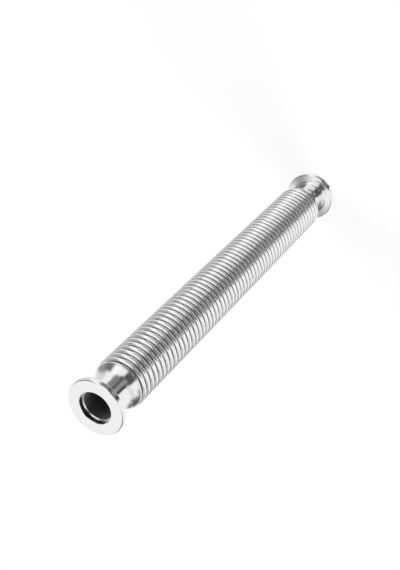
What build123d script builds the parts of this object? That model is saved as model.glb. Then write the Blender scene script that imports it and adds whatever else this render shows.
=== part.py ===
"""Vacuum bellows hose, DN 16 ISO-KF, in stainless steel.

One hydroformed bellows joins two turned end fittings. Each fitting is a small clamp flange
with a centring recess and a 15 degree clamp cone, then a short neck that flares to a shoulder
and ends in a thin spigot. The plain cuff of the bellows slides over the spigot, a weld ring
slides over the cuff, and the three edges are fused there.

Millimetres, +Z along the hose. The hose stands on its lower flange face, and the origin is the
centre of that face.
"""

from build123d import *
from math import radians, tan
import os

# Hose
OVERALL_LENGTH = 250.0
SEAT_CLEARANCE = 0.03

# Clamp flange, DN 16 ISO-KF
FLANGE_RADIUS = 15.0
RIM_THICKNESS = 3.0
CONE_ANGLE = 15.0
BORE_RADIUS = 8.0
RECESS_RADIUS = 8.6
RECESS_DEPTH = 2.8
EDGE_BREAK = 0.3

# Neck and flared shoulder, with heights measured from the flange face
NECK_RADIUS = 9.8
NECK_END = 12.0
SHOULDER_RADIUS = 12.7
SHOULDER_END = 19.2
SPIGOT_WALL = 0.65

# Weld ring
WELD_RING_RADIUS = 12.85
WELD_RING_WIDTH = 1.05

# Bellows
BELLOWS_WALL = 0.2
CREST_RADIUS = 13.57
CONVOLUTIONS = 57
CUFF_REVEAL = 0.6

# Sizes that follow
CONE_DEPTH = (FLANGE_RADIUS - NECK_RADIUS) * tan(radians(CONE_ANGLE))
SPIGOT_RADIUS = BORE_RADIUS + SPIGOT_WALL
CUFF_INNER = SPIGOT_RADIUS + SEAT_CLEARANCE
ROOT_RADIUS = CUFF_INNER + BELLOWS_WALL
WELD_RING_BORE = ROOT_RADIUS + SEAT_CLEARANCE
WELD_END = SHOULDER_END + WELD_RING_WIDTH
FOLDS_START = WELD_END + CUFF_REVEAL
FOLDS_END = OVERALL_LENGTH - FOLDS_START
PITCH = (FOLDS_END - FOLDS_START) / CONVOLUTIONS

# Each end is drawn outward along its own plane: X is the radius, Y the distance from its face.
END_PLANES = {
    "lower": Plane.XZ,
    "upper": Plane(origin=(0, 0, OVERALL_LENGTH), x_dir=(1, 0, 0), z_dir=(0, 1, 0)),
}


def fold_profile(radius_at_root, radius_at_crest, half_crest):
    """Return the corners of one side of the bellows wall, from the lowest fold up."""
    corners = []
    for fold in range(CONVOLUTIONS):
        middle = FOLDS_START + PITCH * (fold + 0.5)
        corners += [
            (radius_at_root, middle - half_crest),
            (radius_at_crest, middle - half_crest),
            (radius_at_crest, middle + half_crest),
            (radius_at_root, middle + half_crest),
        ]
    return corners


os.makedirs("parts", exist_ok=True)

# End fittings: flange, neck, shoulder and spigot are turned in one piece
for end, plane in END_PLANES.items():
    with BuildPart() as flange:
        with BuildSketch(plane):
            with BuildLine():
                Polyline(
                    (NECK_RADIUS, NECK_END),
                    (NECK_RADIUS, RIM_THICKNESS + CONE_DEPTH),
                    (FLANGE_RADIUS, RIM_THICKNESS),
                    (FLANGE_RADIUS, EDGE_BREAK),
                    (FLANGE_RADIUS - EDGE_BREAK, 0),
                    (RECESS_RADIUS + EDGE_BREAK, 0),
                    (RECESS_RADIUS, EDGE_BREAK),
                    (RECESS_RADIUS, RECESS_DEPTH),
                    (BORE_RADIUS + EDGE_BREAK, RECESS_DEPTH),
                    (BORE_RADIUS, RECESS_DEPTH + EDGE_BREAK),
                    (BORE_RADIUS, WELD_END),
                    (SPIGOT_RADIUS, WELD_END),
                    (SPIGOT_RADIUS, SHOULDER_END),
                    (SHOULDER_RADIUS, SHOULDER_END),
                )
                TangentArc(
                    (NECK_RADIUS, NECK_END),
                    (SHOULDER_RADIUS, SHOULDER_END),
                    tangent=(0, 1),
                )
            make_face()
        revolve(axis=Axis.Z)
    flange.part.label = f"{end}_flange"
    export_step(flange.part, f"parts/{end}_flange.step")

# Weld rings: each backs the bellows' cuff against the shoulder
for end, plane in END_PLANES.items():
    with BuildPart() as weld_ring:
        with BuildSketch(plane):
            with Locations((WELD_RING_BORE, SHOULDER_END)):
                Rectangle(
                    WELD_RING_RADIUS - WELD_RING_BORE,
                    WELD_RING_WIDTH,
                    align=(Align.MIN, Align.MIN),
                )
        revolve(axis=Axis.Z)
    weld_ring.part.label = f"{end}_weld_ring"
    export_step(weld_ring.part, f"parts/{end}_weld_ring.step")

# Bellows: one thin tube folded into even convolutions, with a plain cuff at each end
with BuildPart() as bellows:
    with BuildSketch(Plane.XZ):
        with BuildLine():
            outside = fold_profile(ROOT_RADIUS, CREST_RADIUS, PITCH / 4 + BELLOWS_WALL / 2)
            inside = fold_profile(
                ROOT_RADIUS - BELLOWS_WALL,
                CREST_RADIUS - BELLOWS_WALL,
                PITCH / 4 - BELLOWS_WALL / 2,
            )
            Polyline(
                (ROOT_RADIUS, SHOULDER_END),
                *outside,
                (ROOT_RADIUS, OVERALL_LENGTH - SHOULDER_END),
                (CUFF_INNER, OVERALL_LENGTH - SHOULDER_END),
                *reversed(inside),
                (CUFF_INNER, SHOULDER_END),
                close=True,
            )
        make_face()
    revolve(axis=Axis.Z)
bellows.part.label = "bellows"
export_step(bellows.part, "parts/bellows.step")
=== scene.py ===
"""Looks of a DN 16 ISO-KF vacuum bellows hose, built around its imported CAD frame.

The hose stands on its lower flange with its axis along +Z. Every piece is a surface of
revolution about that axis, in metres, in the frame of the CAD model. Each one replaces a
CAD node and has the same outline, with the rounded edges and folds of the real piece.
"""

import logging
from dataclasses import dataclass
from enum import Enum
from math import atan2, hypot, pi, radians, tan
from typing import Any

import bpy
import numpy as np
from mathutils import Matrix, Vector


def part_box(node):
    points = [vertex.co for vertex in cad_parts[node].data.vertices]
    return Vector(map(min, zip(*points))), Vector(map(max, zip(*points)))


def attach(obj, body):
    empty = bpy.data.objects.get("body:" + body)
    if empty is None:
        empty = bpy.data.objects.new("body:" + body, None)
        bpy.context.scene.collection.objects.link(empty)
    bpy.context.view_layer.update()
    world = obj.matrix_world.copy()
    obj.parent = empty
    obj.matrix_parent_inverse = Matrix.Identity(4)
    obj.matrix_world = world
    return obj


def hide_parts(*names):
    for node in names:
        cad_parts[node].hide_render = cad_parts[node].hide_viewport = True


logging.basicConfig(level=logging.INFO, format="%(message)s")
log = logging.getLogger("bellows_hose")

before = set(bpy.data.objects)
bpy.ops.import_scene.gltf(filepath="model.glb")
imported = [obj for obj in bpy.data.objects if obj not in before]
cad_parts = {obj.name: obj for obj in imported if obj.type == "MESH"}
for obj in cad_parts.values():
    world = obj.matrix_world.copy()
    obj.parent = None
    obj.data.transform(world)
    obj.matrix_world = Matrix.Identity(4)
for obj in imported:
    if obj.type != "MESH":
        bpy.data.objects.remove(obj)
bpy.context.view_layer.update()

MM = 0.001
WHITE = (1.0, 1.0, 1.0, 1.0)

# The Mix node's sockets for colours, by index, because their names repeat.
MIX_FIRST, MIX_SECOND, MIX_RESULT = 6, 7, 2


class Lay(Enum):
    """The direction that a finish's fine marks run in."""

    TURNED = "turned"
    FORMED = "formed"


class Socket:
    """An output socket that takes part in Python arithmetic by adding Math nodes."""

    def __init__(self, tree: "NodeTree", link: Any) -> None:
        """Keep the tree that the socket belongs to, and the socket itself."""
        self.tree = tree
        self.link = link

    def __add__(self, other: Any) -> "Socket":
        """Return self + other."""
        return self.tree.math("ADD", self, other)

    def __radd__(self, other: Any) -> "Socket":
        """Return other + self."""
        return self.tree.math("ADD", other, self)

    def __sub__(self, other: Any) -> "Socket":
        """Return self - other."""
        return self.tree.math("SUBTRACT", self, other)

    def __rsub__(self, other: Any) -> "Socket":
        """Return other - self."""
        return self.tree.math("SUBTRACT", other, self)

    def __mul__(self, other: Any) -> "Socket":
        """Return self * other."""
        return self.tree.math("MULTIPLY", self, other)

    def __rmul__(self, other: Any) -> "Socket":
        """Return other * self."""
        return self.tree.math("MULTIPLY", other, self)

    def __truediv__(self, other: Any) -> "Socket":
        """Return self / other."""
        return self.tree.math("DIVIDE", self, other)


class NodeTree:
    """A node tree of a material or the world, emptied and filled by one method."""

    def __init__(self, owner: Any) -> None:
        """Empty the owner's node tree.

        Args:
            owner: A material or a world.
        """
        owner.use_nodes = True
        self.tree = owner.node_tree
        self.tree.nodes.clear()

    def add(
        self,
        kind: str,
        settings: dict[str, Any] | None = None,
        inputs: dict[Any, Any] | None = None,
        output: Any = 0,
    ) -> Socket:
        """Add a node.

        Args:
            kind: The node's type.
            settings: Its own settings, set first.
            inputs: The values or sockets of its inputs, by name or index.
            output: The name or index of the output to return.

        Returns:
            The chosen output, or the node's first one.
        """
        node = self.tree.nodes.new(kind)
        for name, value in (settings or {}).items():
            setattr(node, name, value)
        for name, value in (inputs or {}).items():
            if isinstance(value, Socket):
                self.tree.links.new(value.link, node.inputs[name])
            else:
                node.inputs[name].default_value = value
        return Socket(self, node.outputs[output] if node.outputs else None)

    def math(self, operation: str, *values: Any) -> Socket:
        """Add one Math node.

        Args:
            operation: The Math node's operation.
            values: Numbers or sockets for its inputs, in order.

        Returns:
            The node's output.
        """
        inputs = dict(enumerate(values))
        return self.add("ShaderNodeMath", {"operation": operation}, inputs)

    def ramp(
        self, value: Socket, start: float, end: float, easing: str = "LINEAR"
    ) -> Socket:
        """Add a ramp that is 0 at start and 1 at end, and level beyond them.

        Args:
            value: The value that runs along the ramp.
            start: Where the ramp is 0.
            end: Where the ramp is 1.
            easing: The Map Range node's kind of interpolation.

        Returns:
            The ramp's level.
        """
        inputs = {"Value": value, "From Min": start, "From Max": end}
        return self.add("ShaderNodeMapRange", {"interpolation_type": easing}, inputs)

    def noise(self, place: Socket, scale: float, detail: float) -> Socket:
        """Add a noise texture.

        Args:
            place: Where it is read.
            scale: How many of its cells go to a unit.
            detail: How many finer layers it has.

        Returns:
            Its level, from 0 to 1.
        """
        inputs = {"Vector": place, "Scale": scale, "Detail": detail}
        return self.add("ShaderNodeTexNoise", None, inputs)

    def split(self, vector: Socket) -> tuple[Socket, Socket, Socket]:
        """Return a vector's three components."""
        first = self.add("ShaderNodeSeparateXYZ", None, {0: vector})
        return tuple(Socket(self, output) for output in first.link.node.outputs)

    def join(self, x: Any = 0.0, y: Any = 0.0, z: Any = 0.0) -> Socket:
        """Return a vector made of three numbers or sockets."""
        return self.add("ShaderNodeCombineXYZ", None, {0: x, 1: y, 2: z})


@dataclass(frozen=True)
class Steel:
    """A bright stainless steel finish.

    Attributes:
        name: The material's name.
        tone: Its colour outside the painted shade.
        shade: Its painted shade, the darker colour in the depth of a fold or a bore.
        roughness: How dull it is.
        swing: How much the roughness varies.
        lay: Which way its marks run.
        mark_pitch: The spacing of the marks, in metres.
        mark_depth: How strongly the marks show, in metres.
        unshaded_radius: The radius from which the metal has no painted shade, in metres.
        dark_radius: The radius at which it has its full painted shade, in metres.
        deep_roughness: How dull it is there.
        metal: How much of the surface outside the painted shade is bare metal, rather than
            matt film.
        deep_metal: How much of it is bare metal in the depth.
        stretch: How many times longer than wide a formed finish's marks are.
        mark_detail: How many finer layers the marks have.
        cloud_scale: How many patches of duller metal go to a metre.
        cloud_detail: How many finer layers the patches have.
    """

    name: str
    tone: tuple[float, float, float]
    shade: tuple[float, float, float]
    roughness: float
    swing: float
    lay: Lay
    mark_pitch: float
    mark_depth: float
    unshaded_radius: float
    dark_radius: float
    deep_roughness: float
    metal: float
    deep_metal: float
    stretch: float = 40.0
    mark_detail: float = 3.0
    cloud_scale: float = 90.0
    cloud_detail: float = 4.0

    def material(self) -> bpy.types.Material:
        """Build the finish's material.

        The marks are noise. A turned piece reads it along one line, the sum of height and
        radius, so that they run round it on its faces and on its walls alike. A formed
        piece reads it in all directions, drawn out along the axis. Colour, dullness and
        bare metal change with the radius, from their depth values to their outer ones. The
        darker depth colour is painted shade, deep in the bore and in the folds' grooves.

        Returns:
            The material.
        """
        material = bpy.data.materials.new(self.name)
        nodes = NodeTree(material)
        place = nodes.add("ShaderNodeTexCoord", output="Object")
        x, y, z = nodes.split(place)
        radius = nodes.math("SQRT", x * x + y * y)
        if self.lay is Lay.TURNED:
            along = nodes.join((radius + z) / self.mark_pitch)
        else:
            length = self.stretch * self.mark_pitch
            along = nodes.join(x / self.mark_pitch, y / self.mark_pitch, z / length)
        marks = nodes.noise(along, 1.0, self.mark_detail)
        cloud = nodes.noise(place, self.cloud_scale, self.cloud_detail)
        # Painted shade: towards the axis the colour darkens from the tone to the shade, in
        # the bore and in the folds' grooves.
        unshaded = nodes.ramp(radius, self.dark_radius, self.unshaded_radius)
        ends = {MIX_FIRST: (*self.shade, 1.0), MIX_SECOND: (*self.tone, 1.0)}
        colour = nodes.add(
            "ShaderNodeMix", {"data_type": "RGBA"}, {0: unshaded, **ends}, output=MIX_RESULT
        )
        dull = self.deep_roughness + unshaded * (self.roughness - self.deep_roughness)
        roughness = dull + self.swing * (marks - 0.5) + self.swing * (cloud - 0.5)
        relief = {"Height": marks * self.mark_depth, "Distance": 1.0, "Strength": 1.0}
        inputs = {
            "Base Color": colour,
            "Metallic": self.deep_metal + unshaded * (self.metal - self.deep_metal),
            "Roughness": roughness,
            "Normal": nodes.add("ShaderNodeBump", None, relief),
        }
        surface = nodes.add("ShaderNodeBsdfPrincipled", None, inputs)
        nodes.add("ShaderNodeOutputMaterial", None, {"Surface": surface})
        return material


TURNED_STEEL = Steel(
    name="turned_steel",
    tone=(0.86, 0.865, 0.87),
    # Painted shade: the bore's wall gets this dark grey, standing in for the shade deep
    # inside the tube.
    shade=(0.11, 0.11, 0.112),
    roughness=0.13,
    swing=0.06,
    lay=Lay.TURNED,
    mark_pitch=0.00012,
    mark_depth=0.0000012,
    unshaded_radius=0.0081,
    dark_radius=0.00802,
    deep_roughness=0.45,
    metal=1.0,
    deep_metal=0.0,
)
FORMED_STEEL = Steel(
    name="formed_steel",
    tone=(0.94, 0.945, 0.95),
    # Painted shade: the folds' grooves get this slightly darker colour, standing in for the
    # shade between the folds.
    shade=(0.84, 0.845, 0.85),
    roughness=0.16,
    swing=0.06,
    lay=Lay.FORMED,
    mark_pitch=0.00025,
    mark_depth=0.0000008,
    unshaded_radius=0.0131,
    dark_radius=0.0115,
    deep_roughness=0.15,
    metal=0.78,
    deep_metal=1.0,
)


def rounded_loop(
    corners: np.ndarray, bends: np.ndarray, steps: int
) -> tuple[np.ndarray, np.ndarray]:
    """Round every corner of a closed outline.

    Each corner becomes an arc of its own radius that starts and ends on the corner's two
    sides. A point of the arc is its centre plus the radius times the outward normal
    there, and the normal turns evenly from one side's normal to the other's.

    Args:
        corners: The outline's corners, one row of (radius, height) each, anticlockwise.
        bends: The radius of each corner's arc.
        steps: The number of spans in each arc.

    Returns:
        The points and their outward normals, one row each.
    """
    before = corners - np.roll(corners, 1, axis=0)
    after = np.roll(before, -1, axis=0)
    heading_in = np.arctan2(before[:, 1], before[:, 0])
    turn = np.arctan2(after[:, 1], after[:, 0]) - heading_in
    turn = (turn + pi) % (2 * pi) - pi
    side = np.sign(turn)
    back = bends * np.tan(np.abs(turn) / 2)
    direction_in = np.stack([np.cos(heading_in), np.sin(heading_in)], axis=1)
    start = corners - back[:, None] * direction_in
    normal_in = np.stack([np.sin(heading_in), -np.cos(heading_in)], axis=1)
    centre = start - (side * bends)[:, None] * normal_in
    share = np.linspace(0.0, 1.0, steps + 1)
    heading = heading_in[:, None] + turn[:, None] * share
    normals = np.stack([np.sin(heading), -np.cos(heading)], axis=2)
    points = centre[:, None, :] + (side * bends)[:, None, None] * normals
    return points.reshape(-1, 2), normals.reshape(-1, 2)


def turned_piece(
    name: str, points: np.ndarray, normals: np.ndarray, segments: int
) -> bpy.types.Object:
    """Make a closed surface of revolution about the Z axis.

    A vertex is (r cos a, r sin a, z) for each point (r, z) of the outline and each angle
    a, and its normal is the outline's normal turned by the same angle.

    Args:
        name: The piece's name.
        points: The closed outline, anticlockwise, as rows of (radius, height) in metres.
        normals: The outline's outward normals.
        segments: The number of spans round the axis.

    Returns:
        The new object, linked to the scene.
    """
    angles = np.linspace(0.0, 2 * pi, segments, endpoint=False)
    around = np.stack([np.cos(angles), np.sin(angles)], axis=1)

    def sweep(rows: np.ndarray) -> np.ndarray:
        """Turn each row of (radial, axial) about the axis, as one array of 3-D rows."""
        flat = rows[:, None, 0, None] * around[None, :, :]
        up = np.broadcast_to(rows[:, None, 1, None], flat.shape[:2] + (1,))
        return np.concatenate([flat, up], axis=2).reshape(-1, 3)

    row, column = np.meshgrid(np.arange(len(points)), np.arange(segments), indexing="ij")
    next_row = (row + 1) % len(points)
    next_column = (column + 1) % segments
    quads = np.stack(
        [
            row * segments + column,
            row * segments + next_column,
            next_row * segments + next_column,
            next_row * segments + column,
        ],
        axis=-1,
    ).reshape(-1, 4)
    mesh = bpy.data.meshes.new(name)
    mesh.from_pydata(sweep(points), [], quads)
    mesh.update()
    mesh.shade_smooth()
    mesh.normals_split_custom_set_from_vertices(sweep(normals))
    piece = bpy.data.objects.new(name, mesh)
    bpy.context.scene.collection.objects.link(piece)
    return piece


def dress(
    piece: bpy.types.Object, material: bpy.types.Material, slot: str, *nodes: str
) -> None:
    """Give a piece its material and its body, and hide the CAD nodes that it stands for.

    Args:
        piece: The piece.
        material: Its material.
        slot: The record's material slot; it is not used.
        nodes: The CAD nodes that it replaces.
    """
    piece.data.materials.append(material)
    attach(piece, "root")
    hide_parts(*nodes)
    faces = len(piece.data.polygons)
    log.info("%s: %d faces, replaces %s", piece.name, faces, ", ".join(nodes))


@dataclass
class EndFitting:
    """A turned end fitting: clamp flange, neck, flared shoulder and spigot.

    Heights are measured from the flange face, and all sizes are in metres. Every field
    that ends in edge, and rim_front, rim_back and root_fillet, is the radius of a
    rounding. The flare's arc has flare_share of the radius that would reach both of its
    ends, which leaves a short straight at each.
    """

    end: str
    flange_radius: float = 15.0 * MM
    rim_thickness: float = 3.0 * MM
    cone_angle: float = radians(15.0)
    bore_radius: float = 8.0 * MM
    recess_radius: float = 8.6 * MM
    recess_depth: float = 2.8 * MM
    neck_radius: float = 9.8 * MM
    neck_end: float = 12.0 * MM
    shoulder_radius: float = 12.7 * MM
    shoulder_end: float = 19.2 * MM
    spigot_wall: float = 0.65 * MM
    spigot_end: float = 20.25 * MM
    edge: float = 0.3 * MM
    shoulder_edge: float = 0.15 * MM
    fine_edge: float = 0.1 * MM
    rim_front: float = 0.5 * MM
    rim_back: float = 0.9 * MM
    root_fillet: float = 1.8 * MM
    flare_share: float = 0.93
    segments: int = 160
    arc_steps: int = 7

    def outline(self) -> tuple[np.ndarray, np.ndarray]:
        """Round the outline of a fitting that stands on its flange.

        The flare is one large arc that starts on the neck and ends at the shoulder's
        edge, so its corner lies where the neck meets the line along the flare's end.

        Returns:
            The outline's points and their outward normals.
        """
        rise = self.shoulder_radius - self.neck_radius
        run = self.shoulder_end - self.neck_end
        half_turn = atan2(rise, run)
        flare_radius = hypot(rise, run) ** 2 / (2 * rise)
        flare_corner = self.neck_end + flare_radius * tan(half_turn)
        cone_depth = (self.flange_radius - self.neck_radius) * tan(self.cone_angle)
        spigot_radius = self.bore_radius + self.spigot_wall
        table = [
            (self.recess_radius, 0.0, self.edge),
            (self.flange_radius, 0.0, self.rim_front),
            (self.flange_radius, self.rim_thickness, self.rim_back),
            (self.neck_radius, self.rim_thickness + cone_depth, self.root_fillet),
            (self.neck_radius, flare_corner, flare_radius * self.flare_share),
            (self.shoulder_radius, self.shoulder_end, self.shoulder_edge),
            (spigot_radius, self.shoulder_end, self.fine_edge),
            (spigot_radius, self.spigot_end, self.fine_edge),
            (self.bore_radius, self.spigot_end, self.fine_edge),
            (self.bore_radius, self.recess_depth, self.edge),
            (self.recess_radius, self.recess_depth, self.fine_edge),
        ]
        rows = np.array(table)
        return rounded_loop(rows[:, :2], rows[:, 2], self.arc_steps)

    def build(self, material: bpy.types.Material) -> None:
        """Make the fitting at its end of the hose and dress it."""
        node = f"{self.end}_flange"
        points, normals = end_up(self.end, *self.outline())
        piece = turned_piece(f"{self.end}_fitting", points, normals, self.segments)
        dress(piece, material, "turned_steel", node)


def end_up(
    end: str, points: np.ndarray, normals: np.ndarray
) -> tuple[np.ndarray, np.ndarray]:
    """Place an outline at its end of the hose.

    The lower end keeps its outline. The upper end's heights are measured down from the
    top of the frame, which reverses the outline's direction, so its rows are put in
    reverse order.

    Args:
        end: "lower" or "upper".
        points: The outline for the lower end.
        normals: Its normals.

    Returns:
        The placed outline and its normals.
    """
    if end == "lower":
        return points, normals
    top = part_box("upper_flange")[1][2]
    flipped = points * (1, -1) + (0, top)
    return flipped[::-1], (normals * (1, -1))[::-1]


@dataclass
class WeldRing:
    """The thin ring that backs the bellows' cuff against the shoulder.

    Its start is measured from the flange face, and its edges are rounded.
    """

    end: str
    outer_radius: float = 12.85 * MM
    inner_radius: float = 8.91 * MM
    start: float = 19.2 * MM
    width: float = 1.05 * MM
    edge: float = 0.28 * MM
    segments: int = 160
    arc_steps: int = 6

    def build(self, material: bpy.types.Material) -> None:
        """Make the ring at its end of the hose and dress it."""
        corners = np.array(
            [
                (self.inner_radius, self.start),
                (self.outer_radius, self.start),
                (self.outer_radius, self.start + self.width),
                (self.inner_radius, self.start + self.width),
            ]
        )
        outline = rounded_loop(corners, np.full(4, self.edge), self.arc_steps)
        points, normals = end_up(self.end, *outline)
        piece = turned_piece(f"{self.end}_weld", points, normals, self.segments)
        dress(piece, material, "turned_steel", f"{self.end}_weld_ring")


@dataclass
class Bellows:
    """The formed bellows: one thin wall in even, round-backed folds, cuffed at each end.

    Attributes:
        wall: The wall's thickness.
        crest_radius: The outer radius over the folds.
        root_radius: The outer radius between them.
        convolutions: The number of folds.
        cuff_length: The length of the plain cuff at each end.
        cuff_edge: The rounding of the cuffs' ends.
        fullness: How much of the room at a crest or root its rounding takes.
        crest_share: The width of a fold's crest, outside, as a share of the pitch.
        foot_share: The width of its foot, mid-wall, as a share of the pitch.
        segments: The number of spans round the axis.
        arc_steps: The number of spans in each rounding.
    """

    wall: float = 0.2 * MM
    crest_radius: float = 13.57 * MM
    root_radius: float = 8.88 * MM
    convolutions: int = 57
    cuff_length: float = 1.65 * MM
    cuff_edge: float = 0.04 * MM
    fullness: float = 0.95
    crest_share: float = 0.68
    foot_share: float = 0.5
    segments: int = 54
    arc_steps: int = 3

    def side(self, offset: float, pitch: float, start: float) -> np.ndarray:
        """Return the corners of one side of the wall, with each corner's rounding.

        A fold goes out at its lower flank and back at its upper one. Each flank runs from
        the foot to the wider crest, both centred on the fold's middle, and the wall's two
        sides lie half its thickness either side of it.

        Args:
            offset: Half the wall, positive on the outside and negative on the inside.
            pitch: The distance from one fold to the next.
            start: The height where the first fold begins.

        Returns:
            Rows of (radius, height, bend), from the lowest fold up.
        """
        middle = start + pitch * (np.arange(self.convolutions) + 0.5)
        foot = self.foot_share * pitch / 2 + offset
        shoulder = self.crest_share * pitch / 2 + offset - self.wall / 2
        inward = self.wall / 2 - offset
        root, crest = self.root_radius - inward, self.crest_radius - inward
        hollow = self.fullness * (pitch / 2 - foot)
        back = self.fullness * shoulder
        rows = np.empty((self.convolutions, 4, 3))
        rows[:, :, 0] = (root, crest, crest, root)
        rows[:, :, 1] = middle[:, None] + np.array((-foot, -shoulder, shoulder, foot))
        rows[:, :, 2] = (hollow, back, back, hollow)
        return rows.reshape(-1, 3)

    def build(self, material: bpy.types.Material) -> None:
        """Make the bellows between its two cuff ends and dress it."""
        low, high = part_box("bellows")
        start, end = low[2] + self.cuff_length, high[2] - self.cuff_length
        pitch = (end - start) / self.convolutions
        outside = self.side(self.wall / 2, pitch, start)
        inside = self.side(-self.wall / 2, pitch, start)
        inner_radius = self.root_radius - self.wall
        rows = np.vstack(
            [
                (self.root_radius, low[2], self.cuff_edge),
                outside,
                (self.root_radius, high[2], self.cuff_edge),
                (inner_radius, high[2], self.cuff_edge),
                inside[::-1],
                (inner_radius, low[2], self.cuff_edge),
            ]
        )
        points, normals = rounded_loop(rows[:, :2], rows[:, 2], self.arc_steps)
        piece = turned_piece("bellows_wall", points, normals, self.segments)
        dress(piece, material, "formed_steel", "bellows")


@dataclass
class Viewpoint:
    """The camera: it looks down on the standing hose, which it shows running diagonally.

    Its place and nearest distance are in metres, its lens and sensor in millimetres.
    """

    place: tuple[float, float, float] = (0.00758, -0.36330, 0.55155)
    look_down: float = radians(48.67)
    roll: float = radians(-133.69)
    lens: float = 64.45
    sensor: float = 36.0
    nearest: float = 0.01

    def build(self) -> None:
        """Add the camera and make it the scene's own."""
        data = bpy.data.cameras.new("camera")
        data.lens = self.lens
        data.sensor_width = self.sensor
        data.clip_start = self.nearest
        camera = bpy.data.objects.new("camera", data)
        tilt = Matrix.Rotation(pi / 2 - self.look_down, 4, "X")
        turn = Matrix.Rotation(self.roll, 4, "Z")
        camera.matrix_world = Matrix.Translation(self.place) @ tilt @ turn
        bpy.context.scene.collection.objects.link(camera)
        bpy.context.scene.camera = camera


@dataclass(frozen=True)
class Card:
    """A soft-edged card of the surround, by the directions it fills, all in degrees.

    Attributes:
        azimuth: The direction of its middle, round the hose from +X.
        half_width: From its middle to the middle of its soft side edges.
        low: The elevation of its lower edge.
        high: The elevation of its upper edge.
        level: How bright it is, where 1 is white.
        side_fade: Half the width of its soft side edges.
        end_fade: Half the width of its soft lower and upper edges.
    """

    azimuth: float
    half_width: float
    low: float
    high: float
    level: float
    side_fade: float = 6.0
    end_fade: float = 10.0


CARDS = (
    Card(-98, 28, -66, 4, 0.31, side_fade=5),
    Card(-118, 8, -66, 100, 0.04, side_fade=5),
    Card(-77, 10, -60, 6, 0.08, side_fade=8),
    Card(-101, 23, 0, 100, 0.10, side_fade=7),
    Card(-55, 18, -62, -5, 0.23, side_fade=9, end_fade=12),
    Card(-31, 14, -20, 45, 1.14, side_fade=9, end_fade=16),
    Card(42, 36, -90, -20, 0.76, side_fade=14, end_fade=16),
    Card(33, 22, -26, 66, 0.34, side_fade=11, end_fade=12),
    Card(2, 19, -12, 56, 0.18, side_fade=9, end_fade=12),
    Card(-165, 42, -22, 2, 0.82, side_fade=14),
    Card(172, 22, 18, 52, 0.36, side_fade=12),
    Card(155, 18, 0, 50, 0.24, side_fade=11, end_fade=14),
    Card(143, 22, -24, 20, 0.12, side_fade=13, end_fade=16),
    Card(120, 18, -34, -20, 0.055, side_fade=10, end_fade=12),
    Card(122, 14, 30, 52, 0.45, side_fade=10, end_fade=12),
    Card(137, 34, 81, 100, 0.08, side_fade=14, end_fade=4),
    Card(-90, 48, -100, -66, 0.55, side_fade=25),
)


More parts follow.
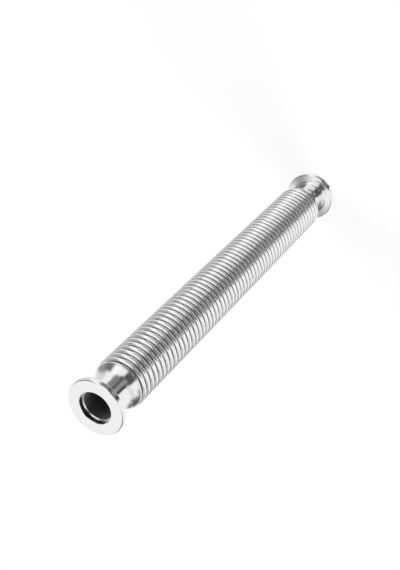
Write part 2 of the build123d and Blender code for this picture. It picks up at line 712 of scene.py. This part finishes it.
@dataclass
class Studio:
    """A white floor, two soft lamps and a white surround with soft grey cards.

    Attributes:
        floor_size: The side of the square floor, in metres.
        floor_level: How pale the floor is.
        even_share: How much of the floor is an even white, for the eye alone.
        surround_level: The level of the surround between its cards.
        fill_level: The level of the light that the surround gives to matt surfaces.
        lamp_spread: How wide each lamp is, seen from the hose.
        key_source: The direction that the key lamp shines from.
        key_strength: Its strength.
        fill_source: The direction that the fill lamp shines from.
        fill_strength: Its strength.
    """

    floor_size: float = 6.0
    floor_level: float = 0.92
    even_share: float = 0.85
    surround_level: float = 1.0
    fill_level: float = 0.3
    lamp_spread: float = radians(38.0)
    key_source: tuple[float, float, float] = (-1.1, 0.25, 0.8)
    key_strength: float = 2.5
    fill_source: tuple[float, float, float] = (1.1, 0.25, 0.8)
    fill_strength: float = 2.1

    def build(self) -> None:
        """Add every part of the studio."""
        self.add_floor()
        self.add_surround()
        self.add_lamp("key", self.key_source, self.key_strength)
        self.add_lamp("fill", self.fill_source, self.fill_strength)

    def add_floor(self) -> None:
        """Add the floor: lit matt white, mixed for the eye with an even white."""
        half = self.floor_size / 2
        corners = [(-half, -half, 0), (half, -half, 0), (half, half, 0), (-half, half, 0)]
        mesh = bpy.data.meshes.new("floor")
        mesh.from_pydata(corners, [], [(0, 1, 2, 3)])
        floor = bpy.data.objects.new("floor", mesh)
        bpy.context.scene.collection.objects.link(floor)
        floor.visible_glossy = False
        material = bpy.data.materials.new("floor_white")
        nodes = NodeTree(material)
        pale = {
            "Base Color": (self.floor_level,) * 3 + (1.0,),
            "Roughness": 1.0,
            "Specular IOR Level": 0.0,
        }
        matt = nodes.add("ShaderNodeBsdfPrincipled", None, pale)
        even = nodes.add("ShaderNodeEmission", None, {"Color": WHITE, "Strength": 1.0})
        seen = nodes.add("ShaderNodeLightPath", output="Is Camera Ray")
        shares = {0: seen * self.even_share, 1: matt, 2: even}
        surface = nodes.add("ShaderNodeMixShader", None, shares)
        nodes.add("ShaderNodeOutputMaterial", None, {"Surface": surface})
        material.cycles.emission_sampling = "NONE"
        floor.data.materials.append(material)

    def add_surround(self) -> None:
        """Fill the surround with white for the eye and with cards for the metal.

        The azimuth of a direction is the arc tangent of y over x, and its elevation the arc
        sine of z. Each card in turn replaces the level where its mask is 1.
        """
        world = bpy.data.worlds.new("surround")
        bpy.context.scene.world = world
        nodes = NodeTree(world)
        x, y, z = nodes.split(nodes.add("ShaderNodeTexCoord", output="Generated"))
        azimuth = nodes.math("ARCTAN2", y, x)
        elevation = nodes.math("ARCSINE", z)
        level = self.surround_level
        for card in CARDS:
            turned = nodes.math("WRAP", azimuth - radians(card.azimuth), pi, -pi)
            off = nodes.math("ABSOLUTE", turned)
            half, side = radians(card.half_width), radians(card.side_fade)
            low, high, end = radians(card.low), radians(card.high), radians(card.end_fade)
            across = nodes.ramp(off, half + side, half - side, "SMOOTHSTEP")
            above = nodes.ramp(elevation, low - end, low + end, "SMOOTHSTEP")
            below = nodes.ramp(elevation, high + end, high - end, "SMOOTHSTEP")
            mask = across * above * below
            level = level + mask * (card.level - level)
        mirrored = nodes.add("ShaderNodeLightPath", output="Is Glossy Ray")
        seen = nodes.add("ShaderNodeLightPath", output="Is Camera Ray")
        fill = self.fill_level
        shown = fill + seen * (1.0 - fill) + mirrored * (level - fill)
        sky = nodes.add("ShaderNodeBackground", None, {"Color": WHITE, "Strength": shown})
        nodes.add("ShaderNodeOutputWorld", None, {"Surface": sky})
        world.cycles.sampling_method = "NONE"

    def add_lamp(
        self, name: str, source: tuple[float, float, float], strength: float
    ) -> None:
        """Add a soft, even lamp that shines from a direction and casts the hose's shadow.

        Args:
            name: The lamp's name.
            source: The direction that it shines from.
            strength: Its strength.
        """
        data = bpy.data.lights.new(name, "SUN")
        data.angle = self.lamp_spread
        data.energy = strength
        lamp = bpy.data.objects.new(name, data)
        lamp.visible_glossy = False
        lamp.rotation_euler = Vector(source).to_track_quat("Z", "Y").to_euler()
        bpy.context.scene.collection.objects.link(lamp)


def main() -> None:
    """Build the hose from its lower end up, then the studio and the camera."""
    turned = TURNED_STEEL.material()
    formed = FORMED_STEEL.material()
    for end in ("lower", "upper"):
        EndFitting(end).build(turned)
        WeldRing(end).build(turned)
    Bellows().build(formed)
    Studio().build()
    Viewpoint().build()
    bpy.context.scene.view_settings.view_transform = "Standard"


if __name__ == "__main__":
    main()
